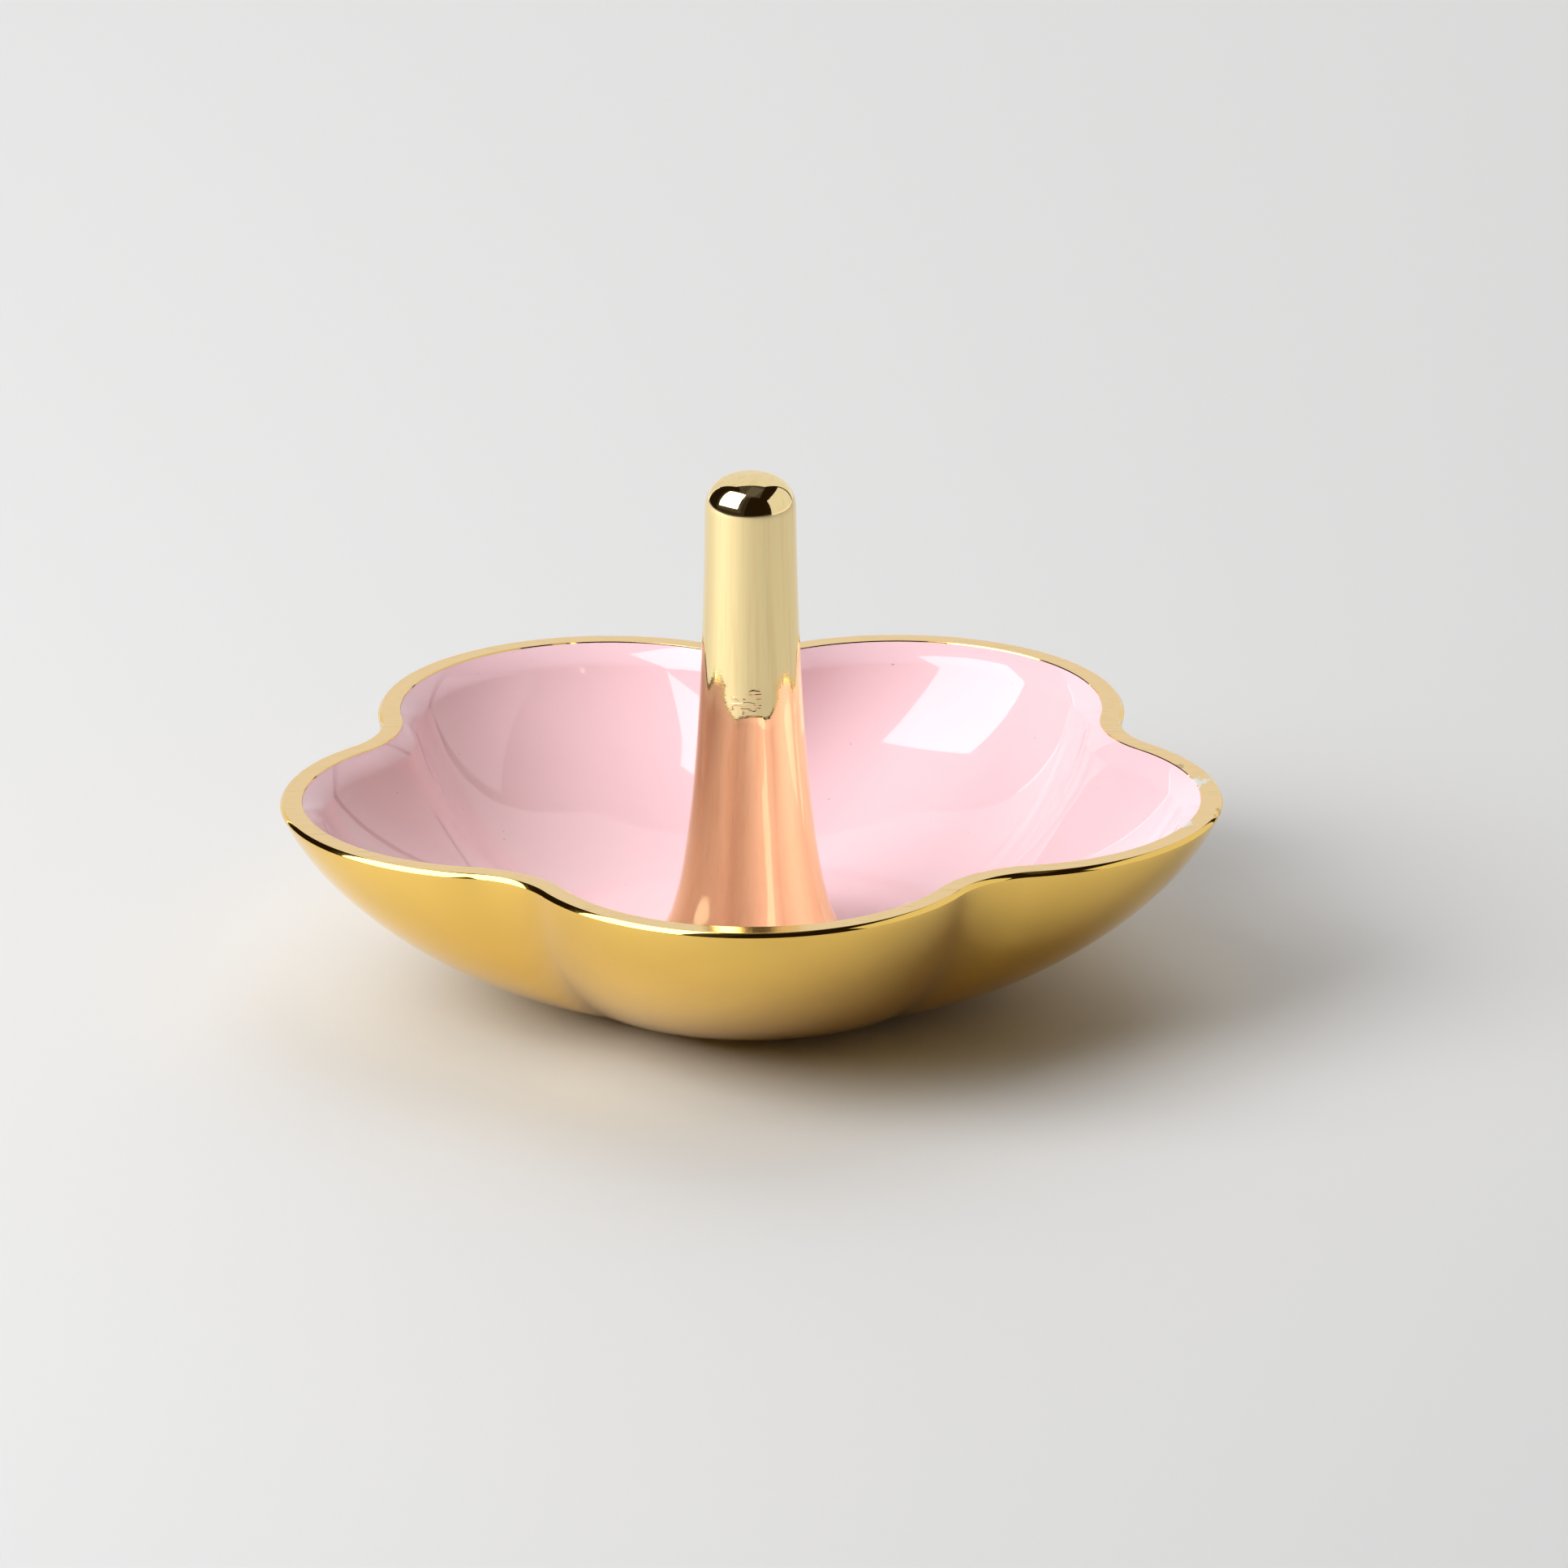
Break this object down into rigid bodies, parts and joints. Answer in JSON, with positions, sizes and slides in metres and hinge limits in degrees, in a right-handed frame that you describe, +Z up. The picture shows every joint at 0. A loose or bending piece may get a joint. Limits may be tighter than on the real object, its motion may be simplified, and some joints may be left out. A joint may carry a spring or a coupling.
{
  "type": "ring dish",
  "caption": "Gold-tone dish with a scalloped petal outline, a glossy pink enamel lining and a flared round post in the middle that finger rings are stacked on.",
  "frame": {"origin": "on the post's axis, at the surface that the dish stands on", "axes": "+Z up along the post; -Y along the petal that faces the viewer; +X to the viewer's right"},
  "size_m": [0.1018, 0.0993, 0.0575],
  "materials": {
    "gold_bowl": "polished, light gold plating",
    "gold_post": "polished along its length, light gold plating",
    "pink_enamel": "glossy poured enamel",
    "steel_screw": "plain machine screw",
    "felt": "pressed felt"
  },
  "bodies": {
    "root": {"dish_shell": "gold_bowl", "enamel_lining": "pink_enamel", "ring_post": "gold_post", "post_screw": "steel_screw", "base_pad": "felt"}
  },
  "joints": []
}
